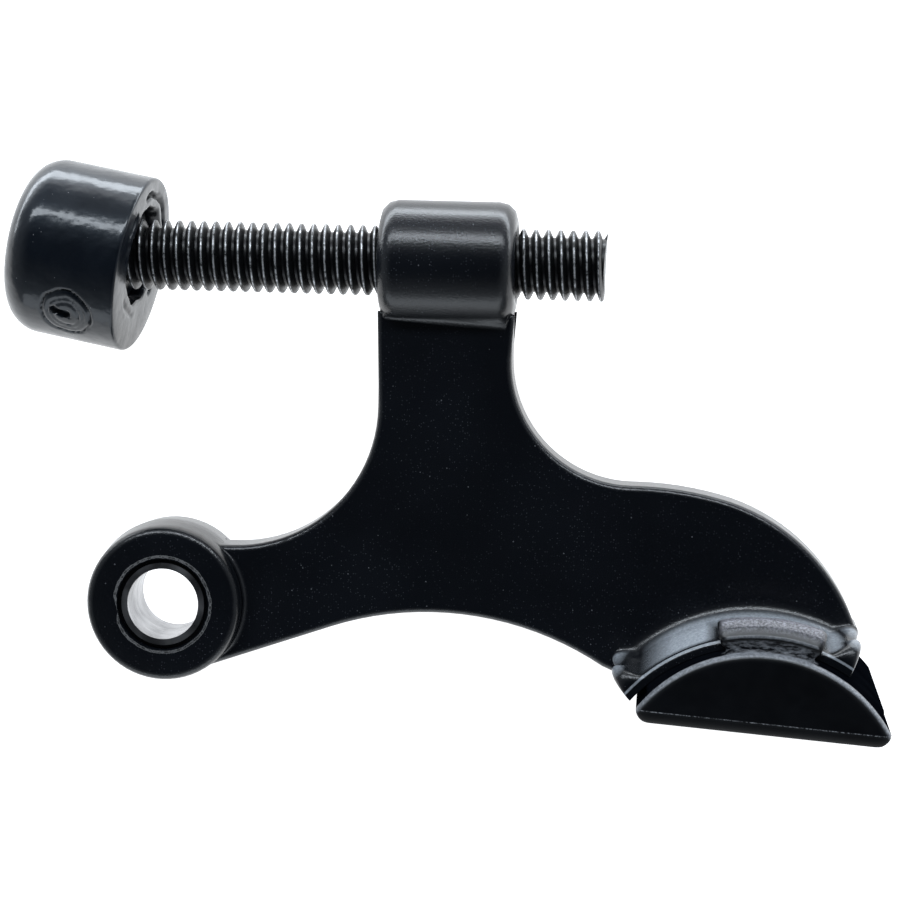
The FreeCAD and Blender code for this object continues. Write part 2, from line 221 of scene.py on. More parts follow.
# %% Soft boxes
OBJECT_MIDDLE = (cad_low + cad_high) / 2
BOX_DISTANCE = 0.6
BOX_WIDTH = 0.9
LIGHT_COLOUR = (0.86, 0.93, 1.0)
STRIP_Y = 0.098
STRIP_LIFT = 0.5 * MM


def area_light(name, width, depth, power, matrix):
    """A rectangular light that the camera does not see."""
    data = bpy.data.lights.new(name, "AREA")
    data.shape = "RECTANGLE"
    data.size = width
    data.size_y = depth
    data.energy = power
    data.color = LIGHT_COLOUR
    lamp = bpy.data.objects.new(name, data)
    lamp.matrix_world = matrix
    lamp.visible_camera = False
    bpy.context.scene.collection.objects.link(lamp)


def over_object(tilt_deg):
    """A place above the object, tilted towards +Y (or -Y) and facing it."""
    tilt = math.radians(tilt_deg)
    away = Vector((0, math.sin(tilt), math.cos(tilt)))
    return looking(OBJECT_MIDDLE + away * BOX_DISTANCE, OBJECT_MIDDLE, 0)


on_floor = Matrix.Translation((OBJECT_MIDDLE.x, STRIP_Y, cad_low.z + STRIP_LIFT))
facing_up = on_floor @ Matrix.Rotation(math.pi, 4, "X")
area_light("top_box", width=BOX_WIDTH, depth=0.08, power=3.6, matrix=over_object(tilt_deg=51))
area_light("low_box", width=BOX_WIDTH, depth=0.22, power=1.1, matrix=over_object(tilt_deg=-78))
area_light("floor_strip", width=0.5, depth=0.034, power=0.62, matrix=facing_up)

# %% [markdown]
# Several finishes and shapes hang on the same two lines: the pivot that the pad swivels about and the
# bolt's axis. Both are read from the frame, so they follow the model. The pad rests a few degrees off the
# Y axis, and its own frame is turned by as much.

# %% Lines the pieces share
PAD_REST = math.radians(86.0 - 90)
ARM_HALF = 2.6 * MM

joints = {joint["name"]: joint for joint in frame["joints"]}
pivot = Vector(joints["pad_swivel"]["pos_m"])
pad_turn = Matrix.Rotation(PAD_REST, 3, "Z")
pad_right = pad_turn @ Vector((1, 0, 0))
pad_up = pad_turn @ Vector((0, 1, 0))
bolt_low, bolt_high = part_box("adjuster_bolt")
bolt_axis = Vector((0, (bolt_low.y + bolt_high.y) / 2, 0))
print("pivot and bolt height in mm:", [round(v / MM, 2) for v in (*pivot.xy, bolt_axis.y)])

# %% [markdown]
# Wear, dirt and painted light need masks: values from 0 to 1 that say where something shows. They could be
# painted in an image, but here they are measured in the object's own coordinates, as distances from a line
# or along a direction. So nothing slides when the view or the pose changes.

# %% Masks and bumps
ROUND_Z = (1, 1, 0)
ALONG_Z = (0, 0, 1)
ROUND_X = (0, 1, 1)


def bumped(tree, *layers):
    """Stacks bump layers, each a height, its depth in metres and its strength."""
    normal = None
    for height, depth, strength in layers:
        sockets = {"Height": height, "Distance": depth, "Strength": strength}
        if normal is not None:
            sockets["Normal"] = normal
        normal = tree.add("ShaderNodeBump", None, **sockets)[0]
    return normal


def specks(tree, place, scale, size, share):
    """Sparse pale dots: 1 in the middle of a few cells, 0 elsewhere."""
    cell = tree.add("ShaderNodeTexVoronoi", None, Vector=place, Scale=scale)
    dot = tree.remap(cell["Distance"], size, size * 0.5)
    lot = tree.add("ShaderNodeSeparateColor", None, Color=cell["Color"])[0]
    return tree.times(dot, tree.math("LESS_THAN", lot, share))


def off_axis(tree, place, centre, kept):
    """The distance of each point from a line through the centre; kept has a 0 along that line."""
    level = tree.vector("SUBTRACT", place, centre)
    return tree.vector("LENGTH", tree.vector("MULTIPLY", level, kept))


def along(tree, place, direction):
    """How far each point lies from the pivot in one direction."""
    return tree.vector("DOT_PRODUCT", tree.vector("SUBTRACT", place, pivot), direction)


def band(tree, value, low, high, soft):
    """1 between two values, falling to 0 over a soft edge."""
    rise = tree.remap(value, low - soft, low)
    return tree.times(rise, tree.remap(value, high + soft, high))


print("mask helpers ready")

# %% [markdown]
# Paint wears where things touch it. Round the mouth of the eye, the hinge pin has left a thin bare ring,
# widest at one chip. On the foot the light is painted in: a grey painted sheen on the ledge's top, painted
# shade kept dark round the place where the pad's hook rests, and painted highlights along the ledge's
# front edge and the crests of the horns.

# %% Worn places of the paint, and painted light on the foot
CHIP_AT = (-5.5 * MM, -0.8 * MM, 0)
CHIP_REACH = (1.6 * MM, 0.4 * MM)
CHIP_WIDTH = 0.42 * MM
MOUTH_RAGGED = 0.06 * MM
MOUTH_R = (5.48 * MM, 5.66 * MM)
EYE_FACE_Z = (5.0 * MM, 5.15 * MM)
LEDGE_SHEEN_R = (19.3 * MM, 20.45 * MM)
LEDGE_SHEEN_Z = (3.9 * MM, 10.2 * MM)
LEDGE_SHEEN_RUN = (-10.5 * MM, 6.0 * MM)
HOOK_SHADE_ASIDE = (6.0 * MM, 7.3 * MM)
HOOK_SHADE_BEHIND = (7.0 * MM, 3.2 * MM)
FRONT_HIGHLIGHT_R = (19.12 * MM, 19.3 * MM)
FRONT_HIGHLIGHT_Z = (11.5 * MM, 11.7 * MM)
CREST_HIGHLIGHT_R = (21.7 * MM, 22.3 * MM)
CREST_HIGHLIGHT_Z = (2.8 * MM, 3.3 * MM)


def bare_mouth(tree, place):
    """Where the paint has worn off round the mouth of the eye, widest at one chip."""
    radius = off_axis(tree, place, (0, 0, 0), ROUND_Z)
    height = off_axis(tree, place, (0, 0, 0), ALONG_Z)
    chip = tree.remap(off_axis(tree, place, CHIP_AT, ROUND_Z), *CHIP_REACH, 0.0, CHIP_WIDTH)
    ragged = tree.remap(tree.noise(place, 900, 4, 0.6), 0.3, 0.7, -MOUTH_RAGGED, MOUTH_RAGGED)
    edge = tree.math("ADD", tree.math("ADD", radius, ragged), chip)
    ring = band(tree, edge, *MOUTH_R, 0.08 * MM)
    grit = tree.remap(tree.noise(place, 2600, 3), 0.30, 0.55, 0.35, 1.0)
    return tree.times(ring, tree.remap(height, *EYE_FACE_Z), grit)


def painted_ledge_light(tree, place):
    """Painted light on the ledge: a grey sheen on its top, shade left dark round the hook, highlights on
    its front edge and crests.
    """
    radius = off_axis(tree, place, pivot, ROUND_Z)
    depth = off_axis(tree, place, pivot, ALONG_Z)
    side = along(tree, place, pad_right)
    # Beside and behind the hook the painted sheen stops, which leaves painted shade round it.
    beside = tree.remap(tree.math("ABSOLUTE", side), *HOOK_SHADE_ASIDE)
    behind = tree.remap(depth, *HOOK_SHADE_BEHIND)
    top = tree.times(band(tree, radius, *LEDGE_SHEEN_R, 0.45 * MM), band(tree, depth, *LEDGE_SHEEN_Z, 1.1 * MM),
                     band(tree, side, *LEDGE_SHEEN_RUN, 3.6 * MM), tree.math("MAXIMUM", beside, behind))
    # The front edge and the horns' crests get painted highlights.
    front = tree.times(band(tree, radius, *FRONT_HIGHLIGHT_R, 0.08 * MM),
                       tree.remap(depth, *FRONT_HIGHLIGHT_Z, 0.0, 0.7))
    crest = tree.times(band(tree, radius, *CREST_HIGHLIGHT_R, 0.7 * MM), tree.remap(depth, *CREST_HIGHLIGHT_Z, 0.0, 0.6))
    painted_light = tree.math("MAXIMUM", top, tree.math("MAXIMUM", front, crest))
    grit = tree.remap(tree.noise(place, 3400, 3, 0.7), 0.35, 0.65, 0.62, 1.0)
    return tree.times(painted_light, grit)


print("ledge rubbed between radii in mm:", [round(r / MM, 2) for r in LEDGE_SHEEN_R])

# %% [markdown]
# The casting is zinc with a satin black paint. Real paint of this kind is never one value: it has a faint
# orange peel, a fine grain and a few pale specks of dust that catch the light. Noise drives the colour,
# the roughness and two depths of bump. The roughness hardly changes, because large patches of it would
# show as clouds wherever the flat arm mirrors the edge of a light.

# %% Satin black paint
PAINT_DEEP = (0.0020, 0.0028, 0.0046, 1)
PAINT_PALE = (0.0038, 0.0050, 0.0076, 1)
PAINT_GLINT = (0.034, 0.037, 0.044, 1)
PAINT_LEDGE_SHEEN = (0.46, 0.50, 0.55, 1)
PAINT_DUST = (0.10, 0.105, 0.115, 1)
BARE_ZINC = (0.55, 0.55, 0.56, 1)


def satin_paint():
    material = bpy.data.materials.new("satin_black_paint")
    tree = Tree(material)
    place = tree.add("ShaderNodeTexCoord")["Object"]
    cloud = tree.noise(place, 70, 3)
    peel = tree.noise(place, 900, 2)
    grain = tree.noise(place, 4200, 2)
    black = tree.mix(tree.remap(cloud, 0.35, 0.65), PAINT_DEEP, PAINT_PALE)
    # Pale specks in the colour are painted glints: tiny painted highlights on the black.
    painted_glints = tree.times(specks(tree, place, 3600, 0.30, 0.34), tree.remap(cloud, 0.34, 0.58))
    with_painted_glints = tree.mix(painted_glints, black, PAINT_GLINT)
    # The ledge's grey is painted light: a painted sheen, painted highlights on its edges, and painted shade
    # round the hook.
    sheen_and_grit = tree.mix(painted_ledge_light(tree, place), with_painted_glints, PAINT_LEDGE_SHEEN)
    dusted = tree.mix(specks(tree, place, 900, 0.09, 0.35), sheen_and_grit, PAINT_DUST)
    bare = bare_mouth(tree, place)
    colour = tree.mix(bare, dusted, BARE_ZINC)
    roughness = tree.remap(tree.noise(place, 260, 3), 0.3, 0.7, 0.25, 0.27)
    normal = bumped(tree, (peel, 0.03 * MM, 0.18), (grain, 0.03 * MM, 0.8))
    tree.surface(Base_Color=colour, Roughness=roughness, Normal=normal, Metallic=bare)
    return material


paint = satin_paint()
print("paint nodes:", len(paint.node_tree.nodes))

# %% [markdown]
# Most pieces here are rows of points with a skin drawn over them: slices of the foot, rings of the cap,
# layers of the pad. Curves with a bevel could do some of it, but rows let every slice differ. Two helpers
# draw the skin, and two more turn the result into a piece that rides on its body.


# %% From rows of points to a piece
def add_rows(shell, rows):
    """Skins closed loops of points, with a flat face at each end."""
    loops = [[shell.verts.new(point) for point in row] for row in rows]
    for first, second in zip(loops, loops[1:]):
        for step in range(len(first)):
            after = (step + 1) % len(first)
            shell.faces.new((first[step], first[after], second[after], second[step]))
    shell.faces.new(loops[0])
    shell.faces.new(loops[-1])


def smooth(share):
    """An S curve from 0 to 1."""
    share = min(max(share, 0.0), 1.0)
    return share * share * (3 - 2 * share)


def finished(name, shell, material, body, replaced):
    """Turns a bmesh into a piece that rides on a body and stands for a CAD node."""
    bmesh.ops.recalc_face_normals(shell, faces=shell.faces)
    mesh = bpy.data.meshes.new(name)
    shell.to_mesh(mesh)
    shell.free()
    piece = bpy.data.objects.new(name, mesh)
    bpy.context.scene.collection.objects.link(piece)
    mesh.materials.append(material)
    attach(piece, body)
    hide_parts(replaced)
    print(name, "has", len(mesh.polygons), "faces")
    return piece


def smooth_by_angle(piece, degrees):
    """Smooth shading that still breaks at edges sharper than the angle."""
    mesh = piece.data
    if "custom_normal" in mesh.attributes:
        mesh.attributes.remove(mesh.attributes["custom_normal"])
    mesh.shade_smooth()
    mesh.set_sharp_from_angle(angle=math.radians(degrees))


print("row helpers ready")

# %% [markdown]
# The foot is the casting's hardest form: a curved ledge that runs into the arm in a soft fillet, has a
# rounded front edge and swells at both ends into horns of two lobes. The CAD form is plain there, so a
# smoother foot takes its place. First comes its height: one formula gives the radius of its top at any
# angle about the pad's pivot and at any distance from the arm's middle plane.

# %% The height of the foot
FOOT_HALF = 12.06 * MM
FOOT_UNDER_R = 18.28 * MM
FOOT_ENDS_DEG = (56.7, 140.3)
LEDGE_TIP_R = 19.25 * MM
LEDGE_SLOPE = 0.1163
LEDGE_FILLET = 1.5 * MM
LEDGE_EDGE = 0.5 * MM
HORN_R = 21.95 * MM
HORN_CREST_DEG = 3.3
HORN_INNER_DEG = 9.6
HORN_EDGE = 2.6 * MM
HORN_DIP = 1.0 * MM
HORN_LOBE = 2.2 * MM
HORN_FILLET_LOSS = 0.85
END_BLUNTNESS = 2.4


def horn_share(to_end):
    """0 along the ledge, 1 on the crest of a horn."""
    return smooth((HORN_INNER_DEG - to_end) / (HORN_INNER_DEG - HORN_CREST_DEG))


def end_share(to_end):
    """1 along the foot, rounding off to 0 past the crest of a horn."""
    past = max(0.0, 1 - to_end / HORN_CREST_DEG)
    return math.sqrt(max(0.0, 1 - past ** END_BLUNTNESS))


def foot_top(degrees, depth):
    """The top's radius at one angle and one distance from the arm's middle plane."""
    to_end = min(degrees - FOOT_ENDS_DEG[0], FOOT_ENDS_DEG[1] - degrees)
    horn = horn_share(to_end)
    edge = LEDGE_EDGE + (HORN_EDGE - LEDGE_EDGE) * horn
    inner = min(depth, FOOT_HALF - edge)
    from_arm = inner - ARM_HALF
    between_lobes = min(1.0, max(0.0, from_arm / (FOOT_HALF - HORN_LOBE - ARM_HALF)))
    dip = HORN_DIP * math.sin(math.pi * between_lobes) ** 2
    ledge = LEDGE_TIP_R + (FOOT_HALF - inner) * LEDGE_SLOPE
    top = ledge + horn * (HORN_R - dip - ledge)
    if from_arm < LEDGE_FILLET:
        climb = LEDGE_FILLET - max(0.0, from_arm)
        fillet = LEDGE_FILLET - math.sqrt(LEDGE_FILLET ** 2 - climb ** 2)
        top += fillet * (1 - HORN_FILLET_LOSS * horn)
    past = depth - (FOOT_HALF - edge)
    if past > 0:
        top -= edge - math.sqrt(max(0.0, edge ** 2 - past ** 2))
    return FOOT_UNDER_R + (top - FOOT_UNDER_R) * end_share(to_end)


print("ledge and horn height in mm:", [round(foot_top(d, 8 * MM) / MM, 2) for d in (90, 60)])

# %% [markdown]
# Each row of the foot is one closed section, and the sections follow each other round the pivot like the
# slices of a ring. Points lie closer together where the form turns: at the fillet and the rounded edge
# across the foot, and at the horns along it.

# %% The foot's sections
FOOT_STEPS = 200
FOOT_CROWDING = 0.6
ACROSS_STEPS = 30
ACROSS_CROWDING = 1.3
EDGE_STEPS = 26
FOOT_CORE = 0.7 * ARM_HALF
WALL_SHARES = (0.75, 0.5, 0.25, 0)


def about_pivot(radius, degrees, z):
    turn = math.radians(degrees)
    return Vector((pivot.x + radius * math.cos(turn), pivot.y + radius * math.sin(turn), z))


def foot_depths():
    """Distances from the middle plane, closer together at the fillet and at the rounded edge."""
    across = FOOT_HALF - HORN_EDGE - ARM_HALF
    shares = [(step / ACROSS_STEPS) ** ACROSS_CROWDING for step in range(ACROSS_STEPS + 1)]
    flat = [ARM_HALF + across * share for share in shares]
    bends = [math.pi / 2 * step / EDGE_STEPS for step in range(1, EDGE_STEPS + 1)]
    return [FOOT_CORE] + flat + [FOOT_HALF - HORN_EDGE * (1 - math.sin(bend)) for bend in bends]


def add_foot(shell):
    depths = foot_depths()
    rows = []
    for step in range(FOOT_STEPS + 1):
        round_once = 2 * math.pi * step / FOOT_STEPS
        share = (round_once - FOOT_CROWDING * math.sin(round_once)) / (2 * math.pi)
        degrees = FOOT_ENDS_DEG[0] + (FOOT_ENDS_DEG[1] - FOOT_ENDS_DEG[0]) * share
        top = [(foot_top(degrees, depth), depth) for depth in depths]
        rise = top[-1][0] - FOOT_UNDER_R
        front = top + [(FOOT_UNDER_R + rise * part, FOOT_HALF) for part in WALL_SHARES]
        back = [(radius, -depth) for radius, depth in reversed(front)]
        rows.append([about_pivot(radius, degrees, z) for radius, z in front + back])
    add_rows(shell, rows)
    bmesh.ops.remove_doubles(shell, verts=shell.verts, dist=0.004 * MM)


print("points across one half of the foot:", len(foot_depths()))

# %% [markdown]
# Where the round eye stands up from the flat arm, a casting always has a small cove, since a mould can't
# fill a sharp inner corner. It is one concave strip on each face, thinning out at both ends.

# %% The cove round the eye
COVE_R = 0.6 * MM
COVE_THIN = 0.01 * MM
COVE_SUNK = 0.3 * MM
COVE_FADE = 6
COVE_FROM_DEG = -46
COVE_TO_DEG = 48
COVE_STEPS = 60
COVE_BENDS = 8
EYE_AT_ARM_R = 9.02 * MM


def add_cove(shell, side):
    rows = []
    for step in range(COVE_STEPS + 1):
        share = step / COVE_STEPS
        turn = math.radians(COVE_FROM_DEG + (COVE_TO_DEG - COVE_FROM_DEG) * share)
        size = COVE_R * min(1.0, COVE_FADE * share, COVE_FADE * (1 - share)) + COVE_THIN
        section = [(EYE_AT_ARM_R - COVE_SUNK, ARM_HALF - COVE_SUNK)]
        for part in range(COVE_BENDS + 1):
            bend = math.pi / 2 * part / COVE_BENDS
            out, up = size * (1 - math.sin(bend)), size * (1 - math.cos(bend))
            section.append((EYE_AT_ARM_R + out, ARM_HALF + up))
        rows.append([(radius * math.cos(turn), radius * math.sin(turn), side * z) for radius, z in section])
    add_rows(shell, rows)


print("cove spans in degrees:", COVE_TO_DEG - COVE_FROM_DEG)

# %% [markdown]
# The casting is one piece, so the arm, the foot and the coves become one mesh. The arm is a copy of the
# CAD mesh without its plain foot, and with the barrel's two ends moved a little further apart. Weighted
# normals keep the large flat faces truly flat beside the small rounded edges.

# %% The casting
BARREL_STRETCH = 1.05
BARREL_MIDDLE = 31.725 * MM
BARREL_HALF = 7.45 * MM
BARREL_R = 7.05 * MM
FOOT_REACH = 22 * MM
FACE_SLACK = 0.05 * MM


def on_foot(vertex):
    """True for what stands out of the arm's flat faces near the pad's pivot."""
    return abs(vertex.co.z) > ARM_HALF + FACE_SLACK and (vertex.co - pivot).xy.length < FOOT_REACH


def arm_without_foot():
    """A copy of the CAD casting, cut at the foot, with the barrel's ends a little further apart."""
    shell = bmesh.new()
    shell.from_mesh(nodes["stop_body"].data)
    bmesh.ops.remove_doubles(shell, verts=shell.verts, dist=0.002 * MM)
    foot = [face for face in shell.faces if any(on_foot(vertex) for vertex in face.verts)]
    print("foot faces left out:", len(foot))
    bmesh.ops.delete(shell, geom=foot, context="FACES")
    for vertex in shell.verts:
        aside = vertex.co.x - BARREL_MIDDLE
        if (vertex.co - bolt_axis).yz.length < BARREL_R and abs(aside) < BARREL_HALF:
            vertex.co.x = BARREL_MIDDLE + aside * BARREL_STRETCH
    return shell


shell = arm_without_foot()
add_foot(shell)
add_cove(shell, 1)
add_cove(shell, -1)
casting = finished("stop_casting", shell, paint, "arm", "stop_body")
smooth_by_angle(casting, 50)
even = casting.modifiers.new("even normals", "WEIGHTED_NORMAL")
even.keep_sharp = True

# %% [markdown]
# The sleeve in the eye is bare metal, drawn and then reamed. Fine scratches run round the hole, so the
# noise is stretched: squeezed along the pin and long around it. The CAD mesh is good as it is and only
# gets this finish.

# %% Bare metal sleeve
SLEEVE_DULL = (0.20, 0.20, 0.21, 1)
SLEEVE_BRIGHT = (0.42, 0.42, 0.43, 1)


def bare_sleeve():
    material = bpy.data.materials.new("bare_sleeve")
    tree = Tree(material)
    place = tree.add("ShaderNodeTexCoord")["Object"]
    stretched = tree.add("ShaderNodeMapping", None, Vector=place, Scale=(0.35, 0.35, 6.0))[0]
    marks = tree.noise(stretched, 900, 4)
    cloud = tree.noise(place, 240, 3)
    colour = tree.mix(tree.remap(cloud, 0.35, 0.65), SLEEVE_DULL, SLEEVE_BRIGHT)
    roughness = tree.remap(marks, 0.3, 0.7, 0.22, 0.46)
    normal = bumped(tree, (marks, 0.02 * MM, 0.4))
    tree.surface(Base_Color=colour, Roughness=roughness, Metallic=1.0, Normal=normal)
    return material


sleeve = nodes["pin_bushing"]
sleeve.data.materials.clear()
sleeve.data.materials.append(bare_sleeve())
smooth_by_angle(sleeve, 40)

# %% [markdown]
# The bolt carries a true thread. A thread is one profile swept along a helix, so the mesh is a long ribbon:
# each row is the profile at one turn angle, and the last point of a row is the first point of the row one
# full turn later. The ends are folded into flat faces, which leaves a clean closed tail. A Screw modifier
# could turn the profile too, but it would leave the ends open.

# %% The thread
THREADS_PER_INCH = 18
PITCH = 25.4 * MM / THREADS_PER_INCH
THREAD_DEPTH = 0.65 * PITCH
CREST_FLAT = 0.22 * PITCH
ROOT_FLAT = 0.17 * PITCH
CREST_SOFT = 0.08 * PITCH
CREST_EXTRA = 0.10 * MM
TURN_STEPS = 48
HEAD_HEIGHT = 5.4 * MM

tail_x = bolt_high.x
head_x = bolt_low.x + HEAD_HEIGHT
shank_r = max((v.co - bolt_axis).yz.length for v in nodes["adjuster_bolt"].data.vertices
              if v.co.x > tail_x - 2 * PITCH)
root_r = shank_r + CREST_EXTRA - THREAD_DEPTH
print("shank radius and pitch in mm:", round(shank_r / MM, 3), round(PITCH / MM, 3))


def on_bolt(x, radius, turn):
    """A point by its distance along the bolt, its radius and its turn about the bolt's axis."""
    return Vector((x, bolt_axis.y + radius * math.cos(turn), radius * math.sin(turn)))


def thread_profile():
    """One turn of the thread as distance along the bolt and radius: root, flank, soft crest, flank."""
    crest_r = shank_r + CREST_EXTRA
    rise = ROOT_FLAT + (PITCH - CREST_FLAT - ROOT_FLAT) / 2
    fall = rise + CREST_FLAT
    shoulder_r = crest_r - 0.5 * CREST_SOFT
    flank_r = crest_r - 2 * CREST_SOFT
    return [(0, root_r), (ROOT_FLAT, root_r), (rise - CREST_SOFT, flank_r), (rise, shoulder_r),
            (rise + CREST_FLAT / 2, crest_r), (fall, shoulder_r), (fall + CREST_SOFT, flank_r)]


def add_thread(shell, start_x, end_x):
    """Adds the helical ribbon between two faces, closed by a disc at each."""
    profile = thread_profile()
    rows = math.ceil((end_x - start_x) / PITCH + 1) * TURN_STEPS
    grid = []
    for row in range(rows + TURN_STEPS):
        turn = 2 * math.pi * row / TURN_STEPS
        line = []
        for offset, radius in profile:
            x = start_x - PITCH + PITCH * row / TURN_STEPS + offset
            if x < start_x or x > end_x:
                radius = root_r
            line.append(shell.verts.new(on_bolt(min(max(x, start_x), end_x), radius, turn)))
        grid.append(line)
    for row in range(rows - 1):
        first = grid[row] + [grid[row + TURN_STEPS][0]]
        second = grid[row + 1] + [grid[row + 1 + TURN_STEPS][0]]
        for column in range(len(profile)):
            shell.faces.new((first[column], second[column], second[column + 1], first[column + 1]))
    bmesh.ops.remove_doubles(shell, verts=shell.verts, dist=0.004 * MM)
    bmesh.ops.dissolve_degenerate(shell, dist=0.002 * MM, edges=shell.edges)
    bmesh.ops.holes_fill(shell, edges=[edge for edge in shell.edges if edge.is_boundary])


# %% [markdown]
# The tail was cut to length by a blade, which leaves it a little hollow and aslant. The head sits in the
# cap and hardly shows, so it is a plain hexagon with a chamfer: three rings whose radius follows the flats.

# %% The tail and the head
TAIL_HOLLOW = 0.25 * MM
TAIL_SLANT = 0.15 * MM
HEAD_STEPS = 48
HEAD_CHAMFER = math.tan(math.radians(30))
HEAD_FACE_SHARE = 0.985
flats_r = bolt_high.z


def shear_tail(shell):
    """Hollows and slants the tail, as the blade leaves it where the bolt was cut to length."""
    for vertex in shell.verts:
        near = smooth((vertex.co.x - tail_x + PITCH) / PITCH)
        across = (vertex.co.y - bolt_axis.y) / shank_r
        vertex.co.x -= near * TAIL_HOLLOW * max(0.0, 1 - across * across)
        vertex.co.x -= near * TAIL_SLANT * (1 - across) / 2


def add_head(shell):
    """Adds the hexagon, chamfered where it meets the cap."""
    face, chamfer, back = [], [], []
    for step in range(HEAD_STEPS):
        turn = 2 * math.pi * step / HEAD_STEPS
        from_flat = math.radians(math.degrees(turn) % 60 - 30)
        hex_r = flats_r / math.cos(from_flat)
        face.append(on_bolt(bolt_low.x, flats_r * HEAD_FACE_SHARE, turn))
        chamfer.append(on_bolt(bolt_low.x + (hex_r - flats_r) * HEAD_CHAMFER, hex_r, turn))
        back.append(on_bolt(head_x, hex_r, turn))
    add_rows(shell, [face, chamfer, back])


print("head across flats in mm:", round(2 * flats_r / MM, 2))

# %% [markdown]
# The steel is blackened and oiled, so it is nearly black and a little shiny. Only the crests are worn
# bright, in broken dashes, because the tapped barrel rubs nothing else. The mask is the distance from the
# bolt's axis, cut up by noise.

# %% Black bolt with worn crests
CRESTS_FROM = 0.05 * MM
CRESTS_FULL = 0.095 * MM
OXIDE_BLACK = (0.0024, 0.0026, 0.0032, 1)
WORN_STEEL = (0.68, 0.69, 0.71, 1)


def black_oxide():
    material = bpy.data.materials.new("black_oxide_steel")
    tree = Tree(material)
    place = tree.add("ShaderNodeTexCoord")["Object"]
    radius = off_axis(tree, place, bolt_axis, ROUND_X)
    crest = tree.remap(radius, shank_r + CRESTS_FROM, shank_r + CRESTS_FULL)
    shine = tree.times(crest, tree.remap(tree.noise(place, 1500, 4, 0.7), 0.38, 0.60))
    colour = tree.mix(shine, OXIDE_BLACK, WORN_STEEL)
    roughness = tree.remap(tree.noise(place, 2600, 3), 0.3, 0.7, 0.24, 0.46)
    normal = bumped(tree, (tree.noise(place, 3800, 3), 0.02 * MM, 0.4))
    tree.surface(Base_Color=colour, Roughness=roughness, Metallic=shine, Normal=normal,
                 Specular_IOR_Level=0.35)
    return material


shell = bmesh.new()
add_thread(shell, head_x, tail_x)
shear_tail(shell)
add_head(shell)
bolt = finished("threaded_bolt", shell, black_oxide(), "screw", "adjuster_bolt")
smooth_by_angle(bolt, 25)

# %% [markdown]
# The cap is a soft vinyl cup, pushed on a little crooked. It is a turned shape, so it is built from rings.
# A Spin of one profile would do for a plain cup, but here every ring is bent a little: by the gate mark on
# the wall and by the tears at the mouth. First comes the plain outside, in the cup's own tilted frame.

# %% The cap's outside
CAP_R = 10.09 * MM
CAP_LENGTH = 13.98 * MM
CAP_NOSE_ROUND = 3.6 * MM
CAP_BACK_ROUND = 0.35 * MM
CAP_LIP = 2.1 * MM
CAP_DROP = 1.2 * MM
CAP_TILT = math.radians(10)
CAP_YAW = math.radians(-5)
WALL_STEPS = 60

cap_back = Vector((head_x + CAP_LIP, bolt_axis.y - CAP_DROP, 0))
cap_turn = Matrix.Rotation(-CAP_TILT, 3, "Z") @ Matrix.Rotation(CAP_YAW, 3, "Y")
cap_axis = cap_turn @ Vector((-1, 0, 0))


def on_cap(depth, radius, turn):
    """A point in the cup's tilted frame: depth runs from the back edge to the nose."""
    return cap_back + cap_turn @ Vector((-depth, radius * math.cos(turn), radius * math.sin(turn)))


def quarter(centre_depth, centre_r, radius, start_deg, end_deg, steps):
    """Points of a rounded edge as depth and radius; 0 degrees points outward, 90 to the nose."""
    turns = [math.radians(start_deg + (end_deg - start_deg) * step / steps) for step in range(steps + 1)]
    return [(centre_depth + radius * math.sin(t), centre_r + radius * math.cos(t)) for t in turns]


def cap_profile():
    """The outside of the cup from the mouth's edge to the middle of the nose."""
    wall_end = CAP_LENGTH - CAP_NOSE_ROUND
    nose_r = CAP_R - CAP_NOSE_ROUND
    step_long = (wall_end - CAP_BACK_ROUND) / WALL_STEPS
    back = quarter(CAP_BACK_ROUND, CAP_R - CAP_BACK_ROUND, CAP_BACK_ROUND, -90, 0, 4)
    wall = [(CAP_BACK_ROUND + step_long * step, CAP_R) for step in range(1, WALL_STEPS)]
    nose = quarter(wall_end, nose_r, CAP_NOSE_ROUND, 0, 90, 20)
    face = [(CAP_LENGTH, nose_r * share) for share in (0.8, 0.6, 0.4, 0.2)]
    return back + wall + nose + face


print("rings on the cap's outside:", len(cap_profile()))

# %% [markdown]
# A moulded cup keeps a mark where the vinyl was let into the mould. Here it is an oval of uneven sunk
# rings round a short slot. It could be a bump, but a bump vanishes in the outline and in a bare mesh, so
# it is cut into the wall: each ring is a narrow bell curve of the distance from the middle.

# %% The gate mark
GATE_DEPTH = 5.6 * MM
GATE_TURN = math.radians(131)
GATE_LONG = 3.0 * MM
GATE_WIDE = 3.4 * MM
GATE_REACH = 1.3
GATE_WOBBLE = 0.07
GATE_RINGS = ((0.97, 0.045, 0.26 * MM), (0.70, 0.035, 0.10 * MM), (0.52, 0.04, 0.14 * MM))
SLOT_AT = 0.22
SLOT_HALF = (0.42, 0.16)
SLOT_SOFT = (0.12, 0.08)
SLOT_SLANT = 0.15
SLOT_DEPTH = 0.6 * MM


def gate_height(depth, turn):
    """How far the gate mark stands out of the wall: always 0 or less, for it is sunk."""
    along_wall = (depth - GATE_DEPTH) / GATE_LONG
    around = (turn - GATE_TURN) * CAP_R / GATE_WIDE
    out = math.hypot(along_wall, around)
    if out > GATE_REACH:
        return 0.0
    out += GATE_WOBBLE * noise.noise(Vector((2.2 * along_wall, 2.2 * around, 3.0)))
    rings = sum(deep * math.exp(-((out - at) / wide) ** 2) for at, wide, deep in GATE_RINGS)
    slot = smooth((SLOT_HALF[0] - abs(along_wall - SLOT_AT)) / SLOT_SOFT[0])
    slot *= smooth((SLOT_HALF[1] - abs(around + SLOT_SLANT * along_wall)) / SLOT_SOFT[1])
    return -rings - SLOT_DEPTH * slot


print("gate mark in mm:", round(2 * GATE_LONG / MM, 1), "by", round(2 * GATE_WIDE / MM, 1))

